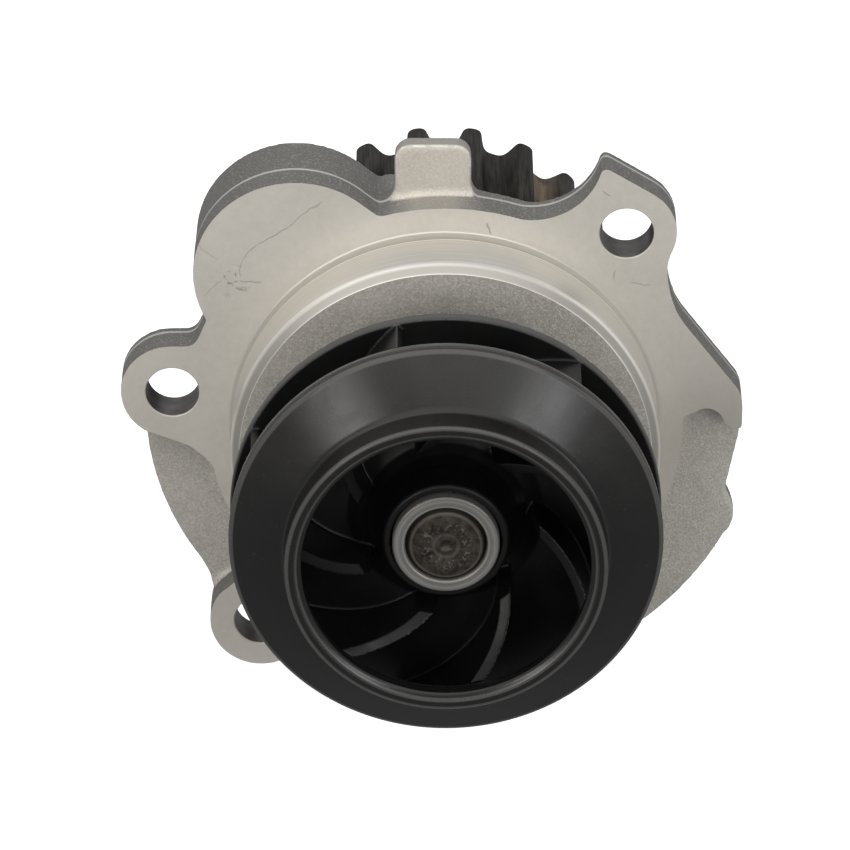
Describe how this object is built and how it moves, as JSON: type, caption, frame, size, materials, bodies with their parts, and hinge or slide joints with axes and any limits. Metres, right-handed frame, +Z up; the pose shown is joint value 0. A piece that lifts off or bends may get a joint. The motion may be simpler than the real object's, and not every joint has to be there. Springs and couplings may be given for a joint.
{
  "type": "water pump",
  "caption": "Belt-driven engine water pump: cast housing with sealing flange, spigot and reservoir lobe, closed impeller, sealed ball-bearing shaft and toothed pulley.",
  "frame": {"origin": "pump axis where it crosses the machined sealing face of the flange", "axes": "+Y along the pump axis from the impeller towards the belt pulley, +Z up in the picture's pose, +X to the right seen from the impeller"},
  "size_m": [0.0976, 0.098, 0.0961],
  "materials": {
    "cast_aluminium": "cast, with machined sealing and spigot faces",
    "plated_steel": "pressed and zinc plated",
    "ground_steel": "turned and ground",
    "sintered_steel": "sintered, oiled, with axial streaks",
    "black_plastic": "satin moulded",
    "black_rubber": "matte",
    "carbon_graphite": "lapped",
    "silicon_carbide": "lapped",
    "cage_plastic": "moulded"
  },
  "bodies": {
    "housing": {"pump_housing": "cast_aluminium", "reservoir_cap": "plated_steel", "bearing_outer_ring": "ground_steel", "bearing_seal_front": "black_rubber", "bearing_seal_rear": "black_rubber", "seal_cup": "plated_steel", "seal_bellows": "black_rubber", "seal_spring": "ground_steel"},
    "rotor": {"pump_shaft": "ground_steel", "drive_pulley": "sintered_steel", "impeller_hub_insert": "ground_steel", "impeller_vane_disc": "black_plastic", "impeller_shroud": "black_plastic", "seal_sleeve": "plated_steel", "mating_ring_boot": "black_rubber", "mating_ring": "silicon_carbide"},
    "ball_set_front": {"ball_cage_front": "cage_plastic", "ball_front_1": "ground_steel", "ball_front_2": "ground_steel", "ball_front_3": "ground_steel", "ball_front_4": "ground_steel", "ball_front_5": "ground_steel", "ball_front_6": "ground_steel", "ball_front_7": "ground_steel"},
    "ball_set_rear": {"ball_cage_rear": "cage_plastic", "ball_rear_1": "ground_steel", "ball_rear_2": "ground_steel", "ball_rear_3": "ground_steel", "ball_rear_4": "ground_steel", "ball_rear_5": "ground_steel", "ball_rear_6": "ground_steel", "ball_rear_7": "ground_steel"},
    "seal_face": {"carbon_ring": "carbon_graphite"}
  },
  "joints": [
    {"name": "shaft_spin", "type": "hinge", "parent": "housing", "child": "rotor", "pos_m": [0, 0, 0], "axis": [0, 1, 0], "continuous": true},
    {"name": "ball_set_front_spin", "type": "hinge", "parent": "housing", "child": "ball_set_front", "pos_m": [0, 0.0125, 0], "axis": [0, 1, 0], "continuous": true},
    {"name": "ball_set_rear_spin", "type": "hinge", "parent": "housing", "child": "ball_set_rear", "pos_m": [0, 0.0335, 0], "axis": [0, 1, 0], "continuous": true},
    {"name": "seal_face_float", "type": "slide", "parent": "housing", "child": "seal_face", "axis": [0, 1, 0], "range_m": [0, 0.0008], "deforming": ["seal_spring", "seal_bellows"]}
  ],
  "couplings": [
    {"joint": "ball_set_front_spin", "follows": "shaft_spin", "ratio": 0.3412},
    {"joint": "ball_set_rear_spin", "follows": "shaft_spin", "ratio": 0.3412}
  ]
}
